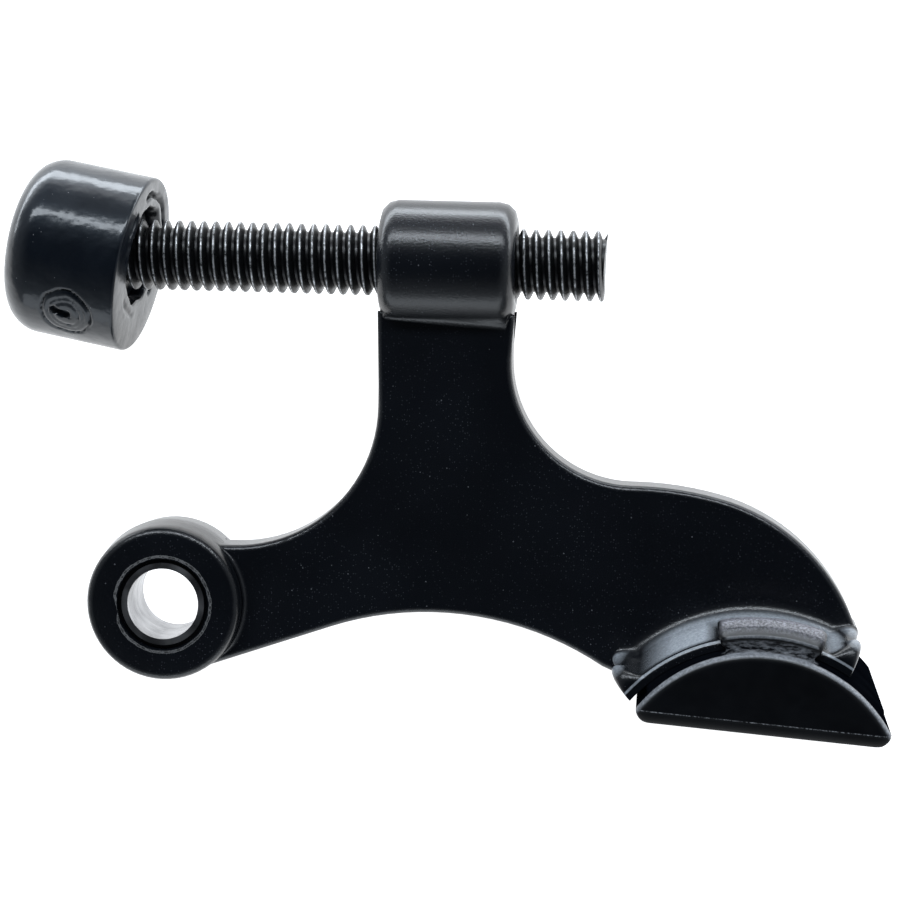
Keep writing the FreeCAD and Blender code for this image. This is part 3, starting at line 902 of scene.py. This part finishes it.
# %% [markdown]
# The head was forced through the cup's back, which tore it. The inner edge now closes round the bolt
# unevenly, and broken cracks run in a ring where the material gave way. Both follow smooth noise round the
# mouth, so they meet themselves after a full turn. The throat is true to the bolt, not to the tilted cup.

# %% The torn mouth
CAP_MOUTH_R = 6.9 * MM
CAP_THROAT_R = 5.5 * MM
THROAT_RAGGED = 0.45 * MM
THROAT_ROWS = ((1.6 * MM, 1.0), (0.5 * MM, 1.0), (0.12 * MM, 1.02))
THROAT_FLARE = 0.04
BACK_R = 8.2 * MM
BACK_STEPS = 24
CRACK_WANDER = 0.25 * MM
CRACK_WIDE = 0.30 * MM
CRACK_DEEP = 0.9 * MM
CRACK_CONTRAST = 2.4


def round_noise(turn, busy, level):
    """Noise that closes on itself after one turn."""
    return noise.noise(Vector((busy * math.cos(turn), busy * math.sin(turn), level)))


def mouth_x(turn, radius):
    """Where a hole of this radius about the bolt's axis meets the cup's tilted back face."""
    point = on_bolt(cap_back.x, radius, turn)
    return cap_back.x - (point - cap_back).dot(cap_axis) / cap_axis.x


def throat(turn):
    """The torn inner edge of the mouth, which nearly closes round the bolt."""
    return CAP_THROAT_R + THROAT_RAGGED * round_noise(turn, 3, 1.0)


def tear(turn, radius):
    """How deep the back face is torn: broken cracks in a ring where the head was pushed through."""
    wander = CRACK_WANDER * round_noise(turn, 4, 7.0)
    crack = math.exp(-((radius - CAP_MOUTH_R - wander) / CRACK_WIDE) ** 2)
    return CRACK_DEEP * crack * smooth(0.5 + CRACK_CONTRAST * round_noise(turn, 1.7, 4.0))


def on_back(turn, share):
    """A point of the back face, from the throat (0) towards the rim (1)."""
    inner = throat(turn)
    radius = inner * (1 + THROAT_FLARE * (1 - share)) + (BACK_R - inner) * share
    return on_bolt(mouth_x(turn, radius) - tear(turn, radius), radius, turn)


print("throat radius at the top in mm:", round(throat(0) / MM, 2))

# %% [markdown]
# Vinyl is shiny, but a soft moulding is never flat: its highlights waver. Three sizes of noise bend the
# normal, from slow waves to a fine grain. The gloss is a clear coat over a dull base, which keeps the
# bands bright and what lies between them nearly black. Then the rings are skinned from the throat, over
# the back and the wall, to the middle of the nose.

# %% Soft vinyl and the bumper cap
CAP_STEPS = 260
VINYL_DEEP = (0.0024, 0.0036, 0.0062, 1)
VINYL_PALE = (0.0046, 0.0066, 0.0105, 1)
VINYL_DUST = (0.16, 0.165, 0.175, 1)
VINYL_TINT = (0.70, 0.85, 1.0, 1)


def soft_vinyl():
    material = bpy.data.materials.new("soft_black_vinyl")
    tree = Tree(material)
    place = tree.add("ShaderNodeTexCoord")["Object"]
    cloud = tree.noise(place, 120, 3)
    skin = tree.mix(tree.remap(cloud, 0.35, 0.65), VINYL_DEEP, VINYL_PALE)
    colour = tree.mix(specks(tree, place, 1100, 0.08, 0.4), skin, VINYL_DUST)
    roughness = tree.remap(tree.noise(place, 420, 4), 0.3, 0.7, 0.30, 0.42)
    waves = tree.noise(place, 210, 3)
    ripples = tree.noise(place, 620, 3)
    grain = tree.noise(place, 2600, 2)
    normal = bumped(tree, (waves, 0.5 * MM, 0.34), (ripples, 0.12 * MM, 0.30), (grain, 0.012 * MM, 0.25))
    tree.surface(Base_Color=colour, Roughness=roughness, Normal=normal, Specular_IOR_Level=0.12,
                 Specular_Tint=VINYL_TINT, Coat_Weight=0.6, Coat_Roughness=0.16, Coat_Normal=normal)
    return material


def add_cap(shell):
    turns = [2 * math.pi * step / CAP_STEPS for step in range(CAP_STEPS)]
    rows = []
    for depth, flare in THROAT_ROWS:
        rows.append([on_bolt(mouth_x(turn, throat(turn)) - depth, throat(turn) * flare, turn)
                     for turn in turns])
    for step in range(1, BACK_STEPS + 1):
        rows.append([on_back(turn, step / BACK_STEPS) for turn in turns])
    for depth, radius in cap_profile():
        rows.append([on_cap(depth, radius + gate_height(depth, turn), turn) for turn in turns])
    add_rows(shell, rows)


shell = bmesh.new()
add_cap(shell)
cap = finished("bumper_cup", shell, soft_vinyl(), "bumper", "bumper_cap")
smooth_by_angle(cap, 50)

# %% [markdown]
# The pad is a soft black moulding: a half-moon block with a rounded rim, and on each face a hook that
# reaches over the ledge. The block is a stack of outlines, one for each depth. Its rim stands highest in
# the middle, its top is raised where it slides under the foot, and a rounded band runs along the face that
# meets the door.

# %% The pad's block
PAD_HALF = 14.0 * MM
PAD_RIM_R = 17.4 * MM
PAD_RIM_ROUND = 0.9 * MM
PAD_RIM_RISE = 0.5 * MM
PAD_TOP_R = 18.22 * MM
PAD_TOP_HALF = 12.5 * MM
PAD_TOP_STEP = 0.5 * MM
PAD_TOP_SPAN = math.radians(48)
PAD_TOP_FADE = math.radians(1.5)
PAD_CHORD = 10.15 * MM
PAD_FACE = 8.5 * MM
PAD_BAND = 1.7 * MM
PAD_TIP = 1.5 * MM
LAYER_STEPS = 60
ARC_STEPS = 120
TIP_STEPS = 8
FACE_STEPS = 40


def on_pad(x, y, z):
    """A point in the pad's own frame: x along the chord, y out from the pivot."""
    return pivot + pad_turn @ Vector((x, y, z))


def pad_layers():
    """The rim's radius, the raised top's share and the face's height at each depth of the block."""
    layers = []
    for step in range(LAYER_STEPS + 1):
        z = PAD_HALF * math.sin(math.pi / 2 * step / LAYER_STEPS)
        past = max(0.0, z - (PAD_HALF - PAD_RIM_ROUND))
        rim = PAD_RIM_R - PAD_RIM_ROUND + math.sqrt(max(0.0, PAD_RIM_ROUND ** 2 - past ** 2))
        top = smooth((PAD_TOP_HALF + PAD_TOP_STEP / 2 - z) / PAD_TOP_STEP)
        low = max(0.0, z - (PAD_HALF - PAD_BAND)) / PAD_BAND
        face = PAD_FACE + (PAD_CHORD - PAD_FACE) * (1 - math.sqrt(max(0.0, 1 - low ** 2)))
        layers.append((z, rim, top, face))
    back = [(-z, rim, top, face) for z, rim, top, face in reversed(layers[1:])]
    return back + layers


def pad_outline(rim, top, face):
    """One closed outline: the arc from tip to tip, then the rounded tips and the face."""
    tip = math.asin(PAD_CHORD / rim)
    arc = []
    for step in range(ARC_STEPS + 1):
        turn = tip + (math.pi - 2 * tip) * step / ARC_STEPS
        aside = abs(turn - math.pi / 2)
        raised = top * smooth((PAD_TOP_SPAN - aside) / PAD_TOP_FADE)
        risen = rim + PAD_RIM_RISE * (1 - (aside / (math.pi / 2 - tip)) ** 2)
        radius = risen + (PAD_TOP_R - PAD_RIM_R + rim - risen) * raised
        arc.append((radius * math.cos(turn), radius * math.sin(turn)))
    half = rim * math.cos(tip)
    bends = [math.pi / 2 * step / TIP_STEPS for step in range(1, TIP_STEPS + 1)]
    right = [(half - PAD_TIP * (1 - math.cos(bend)), PAD_CHORD - (PAD_CHORD - face) * math.sin(bend))
             for bend in bends]
    left = [(-x, y) for x, y in right]
    flat = [(-(half - PAD_TIP) * (1 - 2 * step / FACE_STEPS), face) for step in range(1, FACE_STEPS)]
    return arc + left + flat + list(reversed(right))


def add_block(shell):
    rows = []
    for z, rim, top, face in pad_layers():
        rows.append([on_pad(x, y, z) for x, y in pad_outline(rim, top, face)])
    add_rows(shell, rows)


print("layers of the pad's block:", len(pad_layers()))

# %% [markdown]
# Each hook is a section swept round the pivot, so it slides on the ledge as the pad swivels: a neck rises
# in front of the foot, and the hook bends over the ledge from there. Towards both ends the section shrinks
# along a circle, which rounds them.

# %% The pad's hooks
HOOK_SPAN_DEG = 16.9
HOOK_END = 0.9 * MM
NECK_SPAN_DEG = 15.4
NECK_END = 1.2 * MM
SWEEP_STEPS = 72
END_SIZE = 0.72
HOOK_SECTION = ((18.6, 12.2), (19.45, 12.2), (19.8, 9.55), (20.9, 9.55), (21.35, 10.1), (21.3, 11.3),
                (20.7, 12.5), (19.6, 13.3), (19.3, 12.9), (18.6, 12.9))
NECK_SECTION = ((16.6, 12.2), (19.5, 12.2), (19.5, 12.85), (18.7, 12.7), (17.9, 13.1), (17.3, 13.9),
                (16.6, 13.98))


def add_hook(shell, section, span_deg, end, side):
    """Sweeps a section of radius and depth in mm about the pivot and rounds both ends."""
    middle = Vector((sum(r for r, z in section), sum(z for r, z in section))) / len(section)
    rows = []
    for step in range(SWEEP_STEPS + 1):
        degrees = -span_deg * math.cos(math.pi * step / SWEEP_STEPS)
        left = min(1.0, math.radians(span_deg - abs(degrees)) * middle.x * MM / end)
        size = END_SIZE + (1 - END_SIZE) * math.sqrt(1 - (1 - left) ** 2)
        turn = math.pi / 2 + math.radians(degrees)
        row = []
        for point in section:
            radius, depth = (middle + (Vector(point) - middle) * size) * MM
            row.append(on_pad(radius * math.cos(turn), radius * math.sin(turn), side * depth))
        rows.append(row)
    add_rows(shell, rows)


print("hook spans in mm:", round(2 * math.radians(HOOK_SPAN_DEG) * HOOK_SECTION[3][0], 1))

# %% [markdown]
# The pad's plastic is black and satin, and years of use have marked it. The hook's top is rubbed to a grey
# grit, which also carries a painted sheen where light falls on the top, and painted shade stays dark along
# its rear edge and its ends. The neck has long scuffs. The rim carries a pale painted highlight, and a
# broken line of flash runs where the two halves of the mould met, made pale by a painted highlight. Each
# mark is a mask in the pad's own coordinates, with noise to break it up.

# %% Marks and painted light on the pad
HOOK_TOP_R = (20.0 * MM, 21.2 * MM)
HOOK_REAR_SHADE_Z = (9.75 * MM, 10.25 * MM)
HOOK_END_SHADE_ASIDE = (5.95 * MM, 5.55 * MM)
NECK_R = (17.7 * MM, 19.1 * MM)
NECK_Z = (12.4 * MM, 12.6 * MM)
NECK_ASIDE = (5.4 * MM, 4.8 * MM)
RIM_HIGHLIGHT_R = (PAD_RIM_R - 0.55 * MM, PAD_RIM_R - 0.1 * MM)
RIM_HIGHLIGHT_Z = (13.25 * MM, 13.75 * MM)
FLASH_Y = (PAD_CHORD - 0.07 * MM, PAD_CHORD - 0.01 * MM)
FLASH_Z = (13.3 * MM, 13.6 * MM)


def hook_grit_sheen_and_shade(tree, radius, depth, aside):
    # The grey top is partly grit and partly painted sheen; its rear edge and ends stay black as painted
    # shade.
    clear_of_shade = tree.times(tree.remap(aside, *HOOK_END_SHADE_ASIDE), tree.remap(depth, *HOOK_REAR_SHADE_Z))
    return tree.times(clear_of_shade, tree.remap(radius, *HOOK_TOP_R))


def neck_mark(tree, radius, depth, aside):
    front = tree.times(tree.remap(aside, *NECK_ASIDE), tree.remap(depth, *NECK_Z))
    return tree.times(band(tree, radius, *NECK_R, 0.25 * MM), front)


def rim_highlight(tree, place, radius, depth):
    # A painted highlight along the rim, broken up by fine ridges.
    ridges = tree.remap(tree.noise(place, 2800, 3, 0.6), 0.40, 0.62, 0.55, 1.0)
    return tree.times(tree.remap(radius, *RIM_HIGHLIGHT_R), band(tree, depth, *RIM_HIGHLIGHT_Z, 0.15 * MM), ridges)


def flash_highlight(tree, place, chord, depth):
    # The flash line is real; its pale colour is a painted highlight on the thin ridge.
    broken = tree.remap(tree.noise(place, 3000, 5, 0.8), 0.46, 0.60)
    return tree.times(band(tree, chord, *FLASH_Y, 0.04 * MM), tree.remap(depth, *FLASH_Z), broken)


print("flash line at mm from the pivot:", round(FLASH_Y[0] / MM, 2))

# %% [markdown]
# Now the marks and the painted light are laid over the black, one mix after another. The door face is matt,
# and so is the top under the hooks, which nothing ever polishes: there the roughness rises and the
# reflection fades.

# %% Moulded black plastic
PLASTIC_DEEP = (0.0010, 0.0013, 0.0022, 1)
PLASTIC_PALE = (0.0024, 0.0030, 0.0044, 1)
PLASTIC_GRIT_AND_SHEEN = (0.30, 0.30, 0.34, 1)
PLASTIC_SCUFF = (0.20, 0.21, 0.23, 1)
PLASTIC_RIM_HIGHLIGHT = (0.25, 0.265, 0.29, 1)
PLASTIC_FLASH_HIGHLIGHT = (0.30, 0.31, 0.33, 1)
MATT_ROUGHNESS = 0.7
UNDER_HOOK_Z = (13.2 * MM, 12.9 * MM)
UNDER_HOOK_TOP_R = (19.0 * MM, 18.4 * MM)
UNDER_HOOK_LOW_R = (16.2 * MM, 16.8 * MM)
DOOR_FACE_Y = (PAD_CHORD - 0.05 * MM, PAD_CHORD - 0.35 * MM)


def moulded_black():
    material = bpy.data.materials.new("moulded_black_plastic")
    tree = Tree(material)
    place = tree.add("ShaderNodeTexCoord")["Object"]
    radius = off_axis(tree, place, pivot, ROUND_Z)
    depth = off_axis(tree, place, pivot, ALONG_Z)
    chord = along(tree, place, pad_up)
    aside = tree.math("ABSOLUTE", along(tree, place, pad_right))

    skin = tree.mix(tree.remap(tree.noise(place, 150, 3), 0.35, 0.65), PLASTIC_DEEP, PLASTIC_PALE)
    # The hook's top: grit and painted sheen, with painted shade along its rear edge and ends.
    hook = hook_grit_sheen_and_shade(tree, radius, depth, aside)
    gritty = tree.remap(tree.noise(place, 3600, 3, 0.7), 0.38, 0.66, 0.15, 1.0)
    sheen_and_grit = tree.mix(tree.times(hook, gritty), skin, PLASTIC_GRIT_AND_SHEEN)
    neck = neck_mark(tree, radius, depth, aside)
    lengthwise = tree.add("ShaderNodeMapping", None, Vector=place, Scale=(0.3, 1.0, 1.0),
                          Rotation=(0, 0, math.radians(20)))[0]
    scuffs = tree.noise(lengthwise, 2800, 4, 0.65)
    scuffed = tree.mix(tree.times(neck, tree.remap(scuffs, 0.42, 0.70)), sheen_and_grit, PLASTIC_SCUFF)
    # The pale band along the rim is a painted highlight.
    rim_highlighted = tree.mix(rim_highlight(tree, place, radius, depth), scuffed, PLASTIC_RIM_HIGHLIGHT)
    # The flash line is drawn pale with a painted highlight.
    colour = tree.mix(flash_highlight(tree, place, chord, depth), rim_highlighted, PLASTIC_FLASH_HIGHLIGHT)

    hidden = tree.times(tree.remap(depth, *UNDER_HOOK_Z), tree.remap(radius, *UNDER_HOOK_TOP_R),
                        tree.remap(radius, *UNDER_HOOK_LOW_R))
    low = tree.remap(chord, *DOOR_FACE_Y)
    satin = tree.remap(tree.noise(place, 600, 4), 0.3, 0.7, 0.30, 0.34)
    matt = tree.math("MAXIMUM", hidden, low)
    roughness = tree.add("ShaderNodeMix", None, i0=matt, i2=satin, i3=MATT_ROUGHNESS)[0]
    shine = tree.times(tree.remap(hidden, 0.0, 1.0, 0.4, 0.0), tree.remap(low, 0.0, 1.0, 1.0, 0.35))
    hook_grit = tree.times(hook, tree.noise(place, 2600, 3, 0.7))
    normal = bumped(tree, (tree.noise(place, 1400, 3), 0.03 * MM, 0.25),
                    (tree.noise(place, 6000, 2), 0.01 * MM, 0.3), (hook_grit, 0.12 * MM, 0.6),
                    (tree.times(neck, scuffs), 0.1 * MM, 0.6))
    tree.surface(Base_Color=colour, Roughness=roughness, Normal=normal, Specular_IOR_Level=shine)
    return material


pad_plastic = moulded_black()
print("pad plastic nodes:", len(pad_plastic.node_tree.nodes))

# %% [markdown]
# The block, the necks and the hooks overlap freely. A voxel remesh melts them into one skin, and a little
# smoothing rounds the inner corners, as in a real moulding. Booleans would join them too, but with hard
# seams.

# %% The swivel pad
PAD_VOXEL = 0.2 * MM
PAD_SMOOTH_ROUNDS = 3


def melted(shell, voxel, rounds):
    """One skin over everything in a bmesh: a voxel remesh and a little smoothing."""
    bmesh.ops.recalc_face_normals(shell, faces=shell.faces)
    rough = bpy.data.meshes.new("rough")
    shell.to_mesh(rough)
    holder = bpy.data.objects.new("holder", rough)
    bpy.context.scene.collection.objects.link(holder)
    remesh = holder.modifiers.new("melt", "REMESH")
    remesh.mode = "VOXEL"
    remesh.voxel_size = voxel
    soften = holder.modifiers.new("soften", "SMOOTH")
    soften.factor = 0.5
    soften.iterations = rounds
    bpy.context.view_layer.update()
    result = holder.evaluated_get(bpy.context.evaluated_depsgraph_get()).to_mesh()
    shell.clear()
    shell.from_mesh(result)
    bpy.data.objects.remove(holder)
    bpy.data.meshes.remove(rough)


shell = bmesh.new()
add_block(shell)
for side in (1, -1):
    add_hook(shell, HOOK_SECTION, HOOK_SPAN_DEG, HOOK_END, side)
    add_hook(shell, NECK_SECTION, NECK_SPAN_DEG, NECK_END, side)
melted(shell, PAD_VOXEL, PAD_SMOOTH_ROUNDS)
pad = finished("moon_pad", shell, pad_plastic, "pad", "swivel_pad")
pad.data.shade_smooth()
